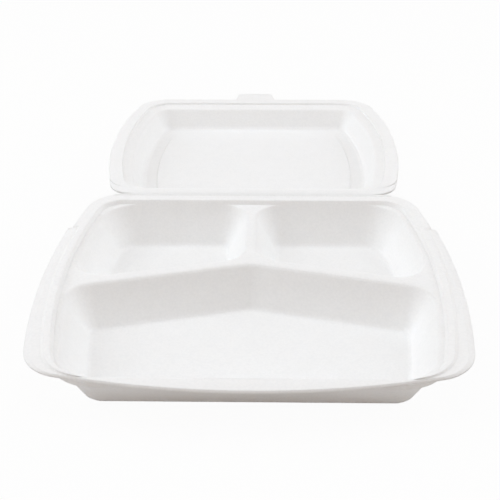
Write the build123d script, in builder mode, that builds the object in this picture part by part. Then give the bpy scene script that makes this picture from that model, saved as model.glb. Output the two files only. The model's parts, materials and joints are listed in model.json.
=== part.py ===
from build123d import *
import os
from math import asin, atan2, copysign, cos, degrees, hypot, radians, sin, sqrt, tan

# Meal box with three compartments and a hinged lid, thermoformed from one sheet of white foam.
# Millimetres. +X runs along the hinge, +Y back from the tray to the lid, +Z up.
# The tray stands on z = 0, centred on the origin. The lid lies open behind it, inside up,
# and its far edge rests on the table. Tray and lid meet at the crease.
# Both halves are drawn by their distance from the crease, as they lie on the forming mould.

# The formed sheet
sheet = 2.5                 # thickness of the foam
draft = 27.0                # lean of the compartment walls, in degrees from upright
step_draft = 15.0           # lean of the low step round the lid's rim
flat = 90.0                 # lean of a level face
upright = 0.0
round_steps = 2             # flats that make up a rounded edge
rim_round = 1.0             # edges of the rims
overrun = 1.0               # how far a cut runs past the face that it opens

# The crease between the halves
hinge_gap = 0.6             # slit between the two rims at the crease
axis_lift = 0.2             # crease axis above the rims' upper faces
crease_pitch = 2.7          # second pressed crease, measured from the first
crease_width = 1.4
crease_depth = 0.8

# Tray rim, from the lid seat outwards
rim_height = 30.0           # table to the upper face of the rim
seat_half_width = 109.2     # recess that takes the lid's rim, at its widest
seat_near = 9.0             # crease to the recess
seat_far = 191.4            # crease to the recess's front edge
seat_drop = 2.8             # recess floor below the rim
seat_corner = 16.5          # recess's corners beside the crease
seat_front_corner = 25.5
seat_wall = 1.6             # wall round the recess, stretched thin
side_radius = 345.0         # bow of the recess's two sides, seen from above
side_middle = 98.0          # crease to the widest place of the recess
bead = 3.8                  # raised rim along the sides of the recess
bead_setback = 1.0          # where the raised rim would close at the front, in from the recess's edge
bead_corner = 25.0
rim_slope = 1.6             # run of the raised rim's slope down to the wings
rear_band = 7.8             # raised rim behind the wings
rear_corner = 25.0
wing_start = 44.0           # crease to the wings' squared ends
wing = 11.8                 # lower wing beyond the recess, at its widest
wing_middle = 106.0         # crease to the widest place of the wings
wing_radius = 415.0         # bow of the wings' sides, seen from above
wing_drop = 1.0             # wing below the raised rim
wing_thickness = 1.7
wing_corner = 25.0
front_lip = 8.6             # front lip beyond the recess, on the middle line
front_radius = 415.0        # bow of the front lip, seen from above
lip_run = 3.6               # sloping edge of the wings, along the sides
front_lip_run = 0.6         # the same slope along the front
lip_drop = 1.0
saddle_half_width = 21.2    # saddle under the lid's tab
saddle_setback = 1.8        # saddle's inner edge, in from the recess's front edge
saddle_rise = 1.2           # saddle above the recess floor

# Compartments
land = 3.9                  # ledge along the sides and the front of the recess
vee_apex = 82.5             # crease to the front edge of the cross divider, on the middle line
vee_angle = 13.3            # sweep of the cross divider, in degrees
vee_crest = 7.0             # width of the cross divider's top
crest = 6.0                 # width of the middle divider's top
outer_floor_corner = 11.1   # corner radii round the flat of the floors
divider_floor_corner = 2.6
land_floor_corner = 3.0
front_floor_corner = 7.1
apex_floor_corner = 2.1
crest_round = 2.8           # edge of a compartment
foot_round = 3.0            # wall to floor

# Lid
lid_side_clearance = 1.8    # lid's rim to the recess wall at both sides, when closed
lid_radius = 335.0          # bow of the lid's two sides, seen from above
lid_middle = 92.0           # crease to the widest place of the lid
lid_clearance = 1.0         # lid's rim to the recess wall behind and in front, when closed
lip_rise = 1.5              # lid's rim above the crease axis, as it lies open
lid_corner = 17.0           # lid's corners beside the crease
lid_front_corner = 25.0
strip_length = 26.0         # lower strip beside the crease, pressed thin
strip_thickness = 1.3
lid_rim = 10.2              # width of the lid's rim
strip_rim = 6.5             # crease to the lid's bowl
step_drop = 1.5             # lid's rim to its shelf
shelf = 6.3                 # sloping shelf between the rim and the wall
shelf_drop = 2.0
bowl_depth = 15.8           # shelf to floor
lid_draft = 23.5            # lean of the lid's wall, in degrees
lid_floor_corner = 3.4
lid_foot_round = 4.0
shelf_round = 2.0
panel_inset = 7.4           # flat of the floor to its raised panel
panel_rise = 0.9
panel_draft = 45.0
panel_corner = 4.0
tab_half_width = 17.2       # opening tab on the lid's front edge
tab_length = 18.2
tab_thickness = 1.6
tab_corner = 5.0
tab_taper_share = 0.82      # tab's tip, as a share of its width at the root

# Worked-out sizes
tray_depth = seat_far + front_lip
hinge_y = tray_depth / 2
hinge_z = rim_height + axis_lift
wall = sheet / cos(radians(draft))
seat_level = rim_height - seat_drop
floor_level = sheet
wing_top = rim_height - wing_drop
wing_level = wing_top - wing_thickness
bead_half_width = seat_half_width + bead
bead_far = seat_far - bead_setback
wing_half_width = seat_half_width + wing
saddle_near = seat_far - saddle_setback
rear_half_width = seat_half_width + rear_band
opening_half_width = seat_half_width - land
seat_inset = seat_drop * tan(radians(draft))
opening_near = seat_near + seat_inset
opening_far = seat_far - land
compartment_depth = seat_level - floor_level
wall_run = compartment_depth * tan(radians(draft))
foot_reach = foot_round * tan(radians(flat - draft) / 2)
under_growth = wall - seat_level * tan(radians(draft))
vee_slope = tan(radians(vee_angle))
vee_back = vee_apex - vee_crest / cos(radians(vee_angle))
tray_bow = (seat_half_width - side_radius, side_middle)

lid_half_width = seat_half_width - lid_side_clearance
lid_bow = (lid_half_width - lid_radius, lid_middle)
lid_near = seat_near + lid_clearance
lid_far = seat_far - lid_clearance
lid_wall = sheet / cos(radians(lid_draft))
shelf_level = lip_rise - step_drop
bowl_level = shelf_level - shelf_drop
lid_floor_level = bowl_level - bowl_depth
lid_under_level = lid_floor_level - sheet
shelf_lean = degrees(atan2(shelf, shelf_drop))
bowl_run = bowl_depth * tan(radians(lid_draft))
lid_foot_reach = lid_foot_round * tan(radians(flat - lid_draft) / 2)
lid_outer_round = lid_foot_round + sheet
lid_under_growth = lid_wall - shelf - (bowl_level - lid_under_level) * tan(radians(lid_draft))
floor_growth = -shelf - bowl_run - lid_foot_reach
bowl_corner = lid_floor_corner - floor_growth

# The open lid tips down from the crease until the far edge of its flat underside meets the table.
under_reach = lid_outer_round * tan(radians(flat - lid_draft) / 2)
under_far = lid_far - lid_rim + lid_under_growth - under_reach
rest_angle = asin(hinge_z / hypot(under_far, lid_under_level)) - atan2(-lid_under_level, under_far)

# In both planes local y is the distance from the crease.
tray_plane = Plane(origin=(0, hinge_y, 0), x_dir=(-1, 0, 0), z_dir=(0, 0, 1))
lid_up = (0, sin(rest_angle), cos(rest_angle))
lid_plane = Plane(origin=(0, hinge_y, hinge_z), x_dir=(1, 0, 0), z_dir=lid_up)


def side_x(half_width, distance, bow):
    """Half width of a bowed outline at a distance from the crease, from the bow's centre and middle."""
    centre, middle = bow
    return centre + sqrt((half_width - centre) ** 2 - (distance - middle) ** 2)


def rounded(level, growth, radius, lean, next_lean):
    """Sections down a rounded edge of the formed sheet, as pairs of level and growth.

    The level and growth given are where the faces above and below would meet, each with its lean.
    """
    turn = radians(lean - next_lean)
    bend = copysign(radius, turn)
    reach = radius * tan(abs(turn) / 2)
    first = radians(lean)
    sections = []
    for step in range(round_steps + 1):
        angle = first - turn * step / round_steps
        rise = reach * cos(first) - bend * (sin(first) - sin(angle))
        run = reach * sin(first) - bend * (cos(angle) - cos(first))
        sections.append((level + rise, growth + run))
    return sections


def pillow(plane, bow, half_width, near, far, near_corner=0, far_corner=0):
    """Rectangle with bowed sides, from the near to the far distance, with rounded corners."""
    near_x = side_x(half_width, near, bow)
    far_x = side_x(half_width, far, bow)
    with BuildSketch(plane) as outline:
        with BuildLine():
            Line((-near_x, near), (near_x, near))
            ThreePointArc((near_x, near), (half_width, bow[1]), (far_x, far))
            Line((far_x, far), (-far_x, far))
            ThreePointArc((-far_x, far), (-half_width, bow[1]), (-near_x, near))
        make_face()
        if near_corner > 0:
            fillet(outline.vertices().group_by(Axis.Y)[0], near_corner)
        if far_corner > 0:
            fillet(outline.vertices().group_by(Axis.Y)[-1], far_corner)
    return outline.sketch


def rim_outline(level, growth):
    """Raised rim, from the crease to the front corners. It is broader behind the wings."""
    band_end = wing_start + growth
    half_width = bead_half_width + growth
    with BuildSketch(tray_plane.offset(level)) as outline:
        add(pillow(Plane.XY, tray_bow, rear_half_width, hinge_gap / 2, bead_far, rear_corner))
        with Locations((0, band_end / 2)):
            Rectangle(2 * rear_half_width, band_end, mode=Mode.INTERSECT)
        add(pillow(Plane.XY, tray_bow, half_width, wing_start / 2, bead_far, 0, bead_corner + growth))
    return outline.sketch


def seat_outline(level, growth):
    """Recess that takes the lid's rim. Growth moves the whole outline outwards."""
    near = seat_near - growth
    far = seat_far + growth
    corners = (seat_corner + growth, seat_front_corner + growth)
    return pillow(tray_plane.offset(level), tray_bow, seat_half_width + growth, near, far, *corners)


def wing_outline(level, side_growth, front_growth):
    """Wings and front lip together: bowed sides closed by the arc of the front lip."""
    with BuildSketch(tray_plane.offset(level)) as outline:
        with Locations((0, (wing_start + tray_depth) / 2)):
            Rectangle(2 * wing_half_width, tray_depth - wing_start)
        for side in (-1, 1):
            with Locations((side * (wing_half_width - wing_radius), wing_middle)):
                Circle(wing_radius + side_growth, mode=Mode.INTERSECT)
        with Locations((0, tray_depth - front_radius)):
            Circle(front_radius + front_growth, mode=Mode.INTERSECT)
        fillet(outline.vertices().group_by(Axis.Y)[-1], wing_corner + side_growth)
    return outline.sketch


def front_compartment(level, growth):
    """Large compartment in front of the cross divider."""
    corner = foot_reach + wall_run + growth
    half_width = opening_half_width + growth
    apex = vee_apex - growth / cos(radians(vee_angle))
    reach = apex + seat_half_width * vee_slope
    with BuildSketch(tray_plane.offset(level)) as outline:
        far = opening_far + growth
        add(pillow(Plane.XY, tray_bow, half_width, opening_near, far, 0, front_floor_corner + corner))
        with BuildLine():
            Polyline(
                (-seat_half_width, reach),
                (0, apex),
                (seat_half_width, reach),
                (seat_half_width, 0),
                (-seat_half_width, 0),
                close=True,
            )
        make_face(mode=Mode.SUBTRACT)
        fillet(outline.vertices().sort_by_distance((0, apex))[0], apex_floor_corner + corner)
        for side in (-1, 1):
            meeting = (side * half_width, apex + half_width * vee_slope)
            fillet(outline.vertices().sort_by_distance(meeting)[0], land_floor_corner + corner)
    return outline.sketch


def rear_compartment(level, growth, rear_growth, side):
    """Small compartment behind the cross divider, on one side of the middle divider."""
    corner = foot_reach + wall_run + growth
    half_width = opening_half_width + growth
    near = opening_near - rear_growth
    middle = crest / 2 - growth
    back = vee_back + growth / cos(radians(vee_angle))
    with BuildSketch(tray_plane.offset(level)) as outline:
        add(pillow(Plane.XY, tray_bow, half_width, near, opening_far))
        with BuildLine():
            Polyline(
                (side * middle, 0),
                (side * middle, back + middle * vee_slope),
                (side * seat_half_width, back + seat_half_width * vee_slope),
                (side * seat_half_width, 0),
                close=True,
            )
        make_face(mode=Mode.INTERSECT)
        rear_meeting = (side * side_x(half_width, near, tray_bow), near)
        fillet(outline.vertices().sort_by_distance(rear_meeting)[0], outer_floor_corner + corner)
        land_meeting = (side * half_width, back + half_width * vee_slope)
        fillet(outline.vertices().sort_by_distance(land_meeting)[0], land_floor_corner + corner)
        for end in (near, back + middle * vee_slope):
            divider_meeting = (side * middle, end)
            fillet(outline.vertices().sort_by_distance(divider_meeting)[0], divider_floor_corner + corner)
    return outline.sketch


def lid_outline(level, growth):
    """Outer edge of the lid's rim."""
    near = lid_near - growth
    far = lid_far + growth
    corners = (lid_corner + growth, lid_front_corner + growth)
    return pillow(lid_plane.offset(level), lid_bow, lid_half_width + growth, near, far, *corners)


def bowl_outline(level, growth, corner):
    """Outline of the lid's bowl, grown outwards from the inner edge of the lid's rim."""
    half_width = lid_half_width - lid_rim + growth
    near = strip_rim - growth
    far = lid_far - lid_rim + growth
    return pillow(lid_plane.offset(level), lid_bow, half_width, near, far, corner, corner)


os.makedirs("parts", exist_ok=True)

# Tray: three compartments hung in a stepped rim, the dividers hollow from below.
with BuildPart() as tray:
    # Raised rim, with the lower wings and front lip outside it
    extrude(rim_outline(wing_top, rim_slope), amount=wing_drop - sheet)
    loft([rim_outline(wing_top, rim_slope), rim_outline(rim_height, 0)], ruled=True)
    lip_level = wing_top - lip_drop
    extrude(wing_outline(wing_level, 0, 0), amount=lip_level - wing_level)
    wing_edge = [wing_outline(lip_level, 0, 0), wing_outline(wing_top, -lip_run, -front_lip_run)]
    loft(wing_edge, ruled=True)

    # Outside of the recess and of the compartments
    extrude(seat_outline(rim_height - sheet, seat_wall), amount=-seat_drop)
    outside = [(seat_level, wall), *rounded(0, under_growth, foot_round + sheet, draft, flat)]
    loft([front_compartment(level, growth) for level, growth in outside], ruled=True)
    for side in (-1, 1):
        loft([rear_compartment(level, growth, growth, side) for level, growth in outside], ruled=True)

    # Inside: the recess for the lid's rim, then the compartments below it.
    # The rear walls have no ledge over them: they run straight up into the wall of the recess.
    recess = [*rounded(rim_height, 0, rim_round, flat, draft), (seat_level, -seat_inset)]
    loft([seat_outline(level, growth) for level, growth in recess], ruled=True, mode=Mode.SUBTRACT)
    inside = rounded(seat_level, 0, crest_round, flat, draft)
    inside += rounded(floor_level, -wall_run, foot_round, draft, flat)
    loft([front_compartment(level, growth) for level, growth in inside], ruled=True, mode=Mode.SUBTRACT)
    for side in (-1, 1):
        walls = []
        for level, growth in inside:
            rear_growth = min(growth, (level - seat_level) * tan(radians(draft)))
            walls.append(rear_compartment(level, growth, rear_growth, side))
        loft(walls, ruled=True, mode=Mode.SUBTRACT)

    # Saddle under the lid's tab, inside the front lip, and the second crease behind the recess
    saddle_far = seat_far + overrun
    with BuildSketch(tray_plane.offset(seat_level)) as saddle:
        with Locations((0, (saddle_near + saddle_far) / 2)):
            Rectangle(2 * saddle_half_width, saddle_far - saddle_near)
    extrude(saddle.sketch, amount=saddle_rise)
    with BuildSketch(Plane.YZ) as crease:
        with Locations((hinge_y - crease_pitch, rim_height)):
            Polygon((-crease_width / 2, 0), (0, -crease_depth), (crease_width / 2, 0), align=None)
    extrude(crease.sketch, amount=seat_half_width, both=True, mode=Mode.SUBTRACT)

tray.part.label = "tray"
export_step(tray.part, "parts/tray.step")

# Lid: a shallow bowl with a stepped rim that drops into the tray's recess.
with BuildPart() as lid:
    # Strip beside the crease, and the raised rim round the other three sides
    with BuildSketch(lid_plane.offset(-axis_lift)) as strip:
        add(pillow(Plane.XY, lid_bow, lid_half_width, hinge_gap / 2, lid_far, lid_corner))
        with Locations((0, strip_length / 2)):
            Rectangle(2 * lid_half_width, strip_length, mode=Mode.INTERSECT)
    extrude(strip.sketch, amount=-strip_thickness)
    rim_edge = rounded(lip_rise, 0, rim_round, flat, upright)
    rim = [lid_outline(level, -growth) for level, growth in rim_edge]
    loft([*rim, lid_outline(lip_rise - sheet, 0)], ruled=True)

    # The rim slopes down to the strip towards the crease
    lid_section = Plane(origin=lid_plane.origin, x_dir=lid_plane.y_dir, z_dir=lid_plane.x_dir)
    with BuildSketch(lid_section) as above_ramp:
        with BuildLine():
            Polyline(
                (lid_near - overrun, -axis_lift),
                (lid_near, -axis_lift),
                (strip_length, lip_rise),
                (strip_length, lip_rise + overrun),
                (lid_near - overrun, lip_rise + overrun),
                close=True,
            )
        make_face()
    extrude(above_ramp.sketch, amount=lid_half_width, both=True, mode=Mode.SUBTRACT)

    # Outside of the step, the shelf and the wall
    outside = [(lip_rise - sheet, sheet), (shelf_level - sheet, sheet), (bowl_level - sheet, sheet - shelf)]
    loft([bowl_outline(level, growth, bowl_corner + growth) for level, growth in outside], ruled=True)
    outside = [(bowl_level, lid_wall - shelf)]
    outside += rounded(lid_under_level, lid_under_growth, lid_outer_round, lid_draft, flat)
    loft([bowl_outline(level, growth, bowl_corner + growth) for level, growth in outside], ruled=True)

    # Inside: step, shelf, wall and floor
    inside = [(lip_rise, step_drop * tan(radians(step_draft))), (shelf_level, 0)]
    inside += rounded(bowl_level, -shelf, shelf_round, shelf_lean, lid_draft)
    inside += rounded(lid_floor_level, -shelf - bowl_run, lid_foot_round, lid_draft, flat)
    bowl = [bowl_outline(level, growth, bowl_corner + growth) for level, growth in inside]
    loft(bowl, ruled=True, mode=Mode.SUBTRACT)

    # Low panel pressed up into the floor, seen as a recess from outside
    panel_edge = floor_growth - panel_inset
    panel_top = panel_edge - panel_rise * tan(radians(panel_draft))
    for level, mode in ((lid_floor_level, Mode.ADD), (lid_under_level, Mode.SUBTRACT)):
        foot = bowl_outline(level, panel_edge, panel_corner)
        loft([foot, bowl_outline(level + panel_rise, panel_top, panel_corner)], ruled=True, mode=mode)

    # Opening tab on the front edge
    tab_root = lid_far - lid_rim / 2
    tab_tip = lid_far + tab_length
    tip_half_width = tab_half_width * tab_taper_share
    with BuildSketch(lid_plane.offset(axis_lift)) as tab:
        with BuildLine():
            Polyline(
                (-tab_half_width, tab_root),
                (tab_half_width, tab_root),
                (tab_half_width, lid_far),
                (tip_half_width, tab_tip),
                (-tip_half_width, tab_tip),
                (-tab_half_width, lid_far),
                close=True,
            )
        make_face()
        fillet(tab.vertices().group_by(Axis.Y)[-1], tab_corner)
    extrude(tab.sketch, amount=-tab_thickness)

lid.part.label = "lid"
export_step(lid.part, "parts/lid.step")
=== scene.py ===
import json
from math import cos, radians, sin

import bpy
from mathutils import Matrix, Vector


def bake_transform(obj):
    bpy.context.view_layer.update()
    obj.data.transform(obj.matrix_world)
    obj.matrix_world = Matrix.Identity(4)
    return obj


# The box is one sheet of white foam, formed hot into a tray and a lid that stay joined at a crease.
# Metres. +X runs along the crease, +Y back from the tray to the open lid, +Z up from the table.
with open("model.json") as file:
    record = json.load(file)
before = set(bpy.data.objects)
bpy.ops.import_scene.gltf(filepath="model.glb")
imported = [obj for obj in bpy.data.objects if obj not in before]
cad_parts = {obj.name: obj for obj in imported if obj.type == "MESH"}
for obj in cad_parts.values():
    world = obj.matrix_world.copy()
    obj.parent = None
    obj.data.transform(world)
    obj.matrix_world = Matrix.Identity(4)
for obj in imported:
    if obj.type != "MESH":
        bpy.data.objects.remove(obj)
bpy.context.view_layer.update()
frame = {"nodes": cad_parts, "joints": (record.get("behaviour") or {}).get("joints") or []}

# The foam sheet: fine-celled polystyrene with a closed satin skin, white right through.
# Forming leaves the skin faintly uneven, and light soaks a little way into the cells below it.
# Its trimmed and stretched edges are never sharp, so the shading rounds them off.
soak_depth = 0.003
foam = bpy.data.materials.new("white_foam")
foam.use_nodes = True
foam_nodes = foam.node_tree.nodes
foam_links = foam.node_tree.links
skin = foam_nodes["Principled BSDF"]
skin.inputs["Roughness"].default_value = 0.55
skin.inputs["Specular IOR Level"].default_value = 0.2
skin.inputs["Subsurface Weight"].default_value = 0.25
skin.inputs["Subsurface Radius"].default_value = (1.0, 0.95, 0.9)
skin.inputs["Subsurface Scale"].default_value = soak_depth

# The cells show through the skin as a fine mottle, under a slower cloud from the forming.
cells_per_metre = 700.0
clouds_per_metre = 120.0
cloud_share = 0.4
spot = foam_nodes.new("ShaderNodeTexCoord")
cells = foam_nodes.new("ShaderNodeTexVoronoi")
cells.inputs["Scale"].default_value = cells_per_metre
foam_links.new(spot.outputs["Object"], cells.inputs["Vector"])
cloud = foam_nodes.new("ShaderNodeTexNoise")
cloud.inputs["Scale"].default_value = clouds_per_metre
cloud.inputs["Detail"].default_value = 3.0
foam_links.new(spot.outputs["Object"], cloud.inputs["Vector"])
mottle = foam_nodes.new("ShaderNodeMix")
mottle.inputs["Factor"].default_value = cloud_share
foam_links.new(cells.outputs["Distance"], mottle.inputs["A"])
foam_links.new(cloud.outputs["Fac"], mottle.inputs["B"])
shade = foam_nodes.new("ShaderNodeValToRGB")
bright, dull = shade.color_ramp.elements
bright.position = 0.2
bright.color = (0.950, 0.950, 0.945, 1.0)
dull.position = 0.75
dull.color = (0.910, 0.912, 0.910, 1.0)
foam_links.new(mottle.outputs["Result"], shade.inputs["Fac"])
foam_links.new(shade.outputs["Color"], skin.inputs["Base Color"])

# Rounded edges come first, then the pebbles that the cells raise, then a slow ripple over both.
edge_radius = 0.0009
pebble_height = 0.0003
ripple_height = 0.0006
edge = foam_nodes.new("ShaderNodeBevel")
edge.samples = 6
edge.inputs["Radius"].default_value = edge_radius
pebble = foam_nodes.new("ShaderNodeBump")
pebble.inputs["Strength"].default_value = 0.3
pebble.inputs["Distance"].default_value = pebble_height
foam_links.new(cells.outputs["Distance"], pebble.inputs["Height"])
foam_links.new(edge.outputs["Normal"], pebble.inputs["Normal"])
ripple = foam_nodes.new("ShaderNodeBump")
ripple.inputs["Strength"].default_value = 0.12
ripple.inputs["Distance"].default_value = ripple_height
foam_links.new(cloud.outputs["Fac"], ripple.inputs["Height"])
foam_links.new(pebble.outputs["Normal"], ripple.inputs["Normal"])
foam_links.new(ripple.outputs["Normal"], skin.inputs["Normal"])

# Tray and lid: the two formed halves, pressed in one stroke and trimmed round the outside.
# They show the foam's own skin, with no print or coating.
for half in ("tray", "lid"):
    finishes = frame["nodes"][half].data.materials
    finishes.clear()
    finishes.append(foam)

# The crease: a line pressed almost through the sheet, where the two halves fold.
# What is left of it is a thin web of crushed foam, arched up level with the top of the rims.
hinge = Vector(frame["joints"][0]["pos_m"])
web_half_length = 0.0820
web_half_width = 0.0016
web_top = -0.00015
web_arch = 0.0006
web_thickness = 0.0006
web_steps = 8
web_points = []
for level in (web_top, web_top - web_thickness):
    for step in range(web_steps + 1):
        across = web_half_width * (2 * step / web_steps - 1)
        sag = web_arch * (across / web_half_width) ** 2
        for end in (-web_half_length, web_half_length):
            web_points.append(hinge + Vector((end, across, level - sag)))

# Each step has a pair of points on the upper skin, and a pair below them half the list further on.
below = len(web_points) // 2
web_faces = []
for step in range(web_steps):
    upper = 2 * step
    lower = below + upper
    web_faces.append((upper, upper + 1, upper + 3, upper + 2))
    web_faces.append((lower, lower + 2, lower + 3, lower + 1))
    web_faces.append((upper, upper + 2, lower + 2, lower))
    web_faces.append((upper + 1, lower + 1, lower + 3, upper + 3))
last = 2 * web_steps
web_faces.append((0, below, below + 1, 1))
web_faces.append((last, last + 1, below + last + 1, below + last))
web_mesh = bpy.data.meshes.new("crease_web")
web_mesh.from_pydata(web_points, [], web_faces)
web_mesh.materials.append(foam)
web = bpy.data.objects.new("crease_web", web_mesh)
bpy.context.scene.collection.objects.link(web)
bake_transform(web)

# The table: a wide sheet of plain white paper under and behind the box.
# It reads as white to the eye and keeps the soft shadow under the tray.
table_half = 4.0
table_drop = 0.00005
white_share = 0.955
paper = bpy.data.materials.new("white_paper")
paper.use_nodes = True
paper_nodes = paper.node_tree.nodes
paper_links = paper.node_tree.links
matte = paper_nodes["Principled BSDF"]
matte.inputs["Base Color"].default_value = (0.79, 0.78, 0.77, 1.0)
matte.inputs["Roughness"].default_value = 1.0
matte.inputs["Specular IOR Level"].default_value = 0.0
glow = paper_nodes.new("ShaderNodeEmission")
glow.inputs["Color"].default_value = (1.0, 1.0, 1.0, 1.0)
glow.inputs["Strength"].default_value = 1.0


def sight(tree):
    """A socket that is 1 for what the eye meets, straight or by gloss or glass, and 0 for other rays."""
    ray = tree.nodes.new("ShaderNodeLightPath")
    total = ray.outputs["Is Camera Ray"]
    for kind in ("Is Glossy Ray", "Is Transmission Ray"):
        either = tree.nodes.new("ShaderNodeMath")
        either.operation = "ADD"
        either.use_clamp = True
        tree.links.new(total, either.inputs[0])
        tree.links.new(ray.outputs[kind], either.inputs[1])
        total = either.outputs["Value"]
    return total


seen_white = paper_nodes.new("ShaderNodeMath")
seen_white.operation = "MULTIPLY"
seen_white.inputs[1].default_value = white_share
paper_links.new(sight(paper.node_tree), seen_white.inputs[0])
paper_mix = paper_nodes.new("ShaderNodeMixShader")
paper_links.new(seen_white.outputs["Value"], paper_mix.inputs["Fac"])
paper_links.new(matte.outputs["BSDF"], paper_mix.inputs[1])
paper_links.new(glow.outputs["Emission"], paper_mix.inputs[2])
paper_links.new(paper_mix.outputs["Shader"], paper_nodes["Material Output"].inputs["Surface"])
table_corners = [(-table_half, -table_half, 0), (table_half, -table_half, 0),
                 (table_half, table_half, 0), (-table_half, table_half, 0)]
table_mesh = bpy.data.meshes.new("table")
table_mesh.from_pydata(table_corners, [], [(0, 1, 2, 3)])
table_mesh.materials.append(paper)
table = bpy.data.objects.new("table", table_mesh)
table.location.z = -table_drop
bpy.context.scene.collection.objects.link(table)

# Studio light: a pale room that reads as white, with soft boxes on both sides, overhead and behind.
# Little comes from the camera's side, so the faces turned to the front stay darker and warmer.
world = bpy.data.worlds.new("white_room")
bpy.context.scene.world = world
world.use_nodes = True
room_nodes = world.node_tree.nodes
room_links = world.node_tree.links
room = room_nodes["Background"]
room.inputs["Color"].default_value = (1.0, 0.82, 0.69, 1.0)
room.inputs["Strength"].default_value = 0.34
backdrop = room_nodes.new("ShaderNodeBackground")
backdrop.inputs["Color"].default_value = (1.0, 1.0, 1.0, 1.0)
backdrop.inputs["Strength"].default_value = 0.985
room_mix = room_nodes.new("ShaderNodeMixShader")
room_links.new(sight(world.node_tree), room_mix.inputs["Fac"])
room_links.new(room.outputs["Background"], room_mix.inputs[1])
room_links.new(backdrop.outputs["Background"], room_mix.inputs[2])
room_links.new(room_mix.outputs["Shader"], room_nodes["World Output"].inputs["Surface"])

soft_box_size = 1.2
soft_box_tint = (0.92, 1.0, 1.07)
middle = Vector((hinge.x, hinge.y, 0))


def soft_box(name, place, watts):
    """A square lamp that faces the table at the middle of the open box."""
    lamp = bpy.data.lights.new(name, "AREA")
    lamp.size = soft_box_size
    lamp.energy = watts
    lamp.color = soft_box_tint
    holder = bpy.data.objects.new(name, lamp)
    holder.location = place
    holder.rotation_euler = (middle - Vector(place)).to_track_quat("-Z", "Y").to_euler()
    bpy.context.scene.collection.objects.link(holder)


soft_box("left_box", (-1.3, 0.1, 0.8), 11.3)
soft_box("right_box", (1.3, 0.1, 0.8), 7.6)
soft_box("top_box", (0.0, 0.1, 1.6), 8.0)
soft_box("back_box", (1.2, 1.1, 0.8), 2.8)

# The camera stands in front of the tray, a little above it, and looks down across it to the lid.
# Its place, angles and lens were found by fitting the outlines of the open box.
eye = Vector((0.0071, -0.42794, 0.31302))
tilt = radians(31.825)
turn = radians(-0.969)
roll = radians(-0.182)
ahead = Vector((sin(turn) * cos(tilt), cos(turn) * cos(tilt), -sin(tilt)))
level_right = Vector((cos(turn), -sin(turn), 0))
level_up = level_right.cross(ahead)
right = cos(roll) * level_right + sin(roll) * level_up
up = cos(roll) * level_up - sin(roll) * level_right
lens = bpy.data.cameras.new("camera")
lens.sensor_width = 36.0
lens.sensor_fit = "HORIZONTAL"
lens.lens = 63.84
camera = bpy.data.objects.new("camera", lens)
turned = Matrix((right, up, -ahead)).transposed().to_4x4()
camera.matrix_world = Matrix.Translation(eye) @ turned
bpy.context.scene.collection.objects.link(camera)
bpy.context.scene.camera = camera
bpy.context.scene.view_settings.view_transform = "Standard"
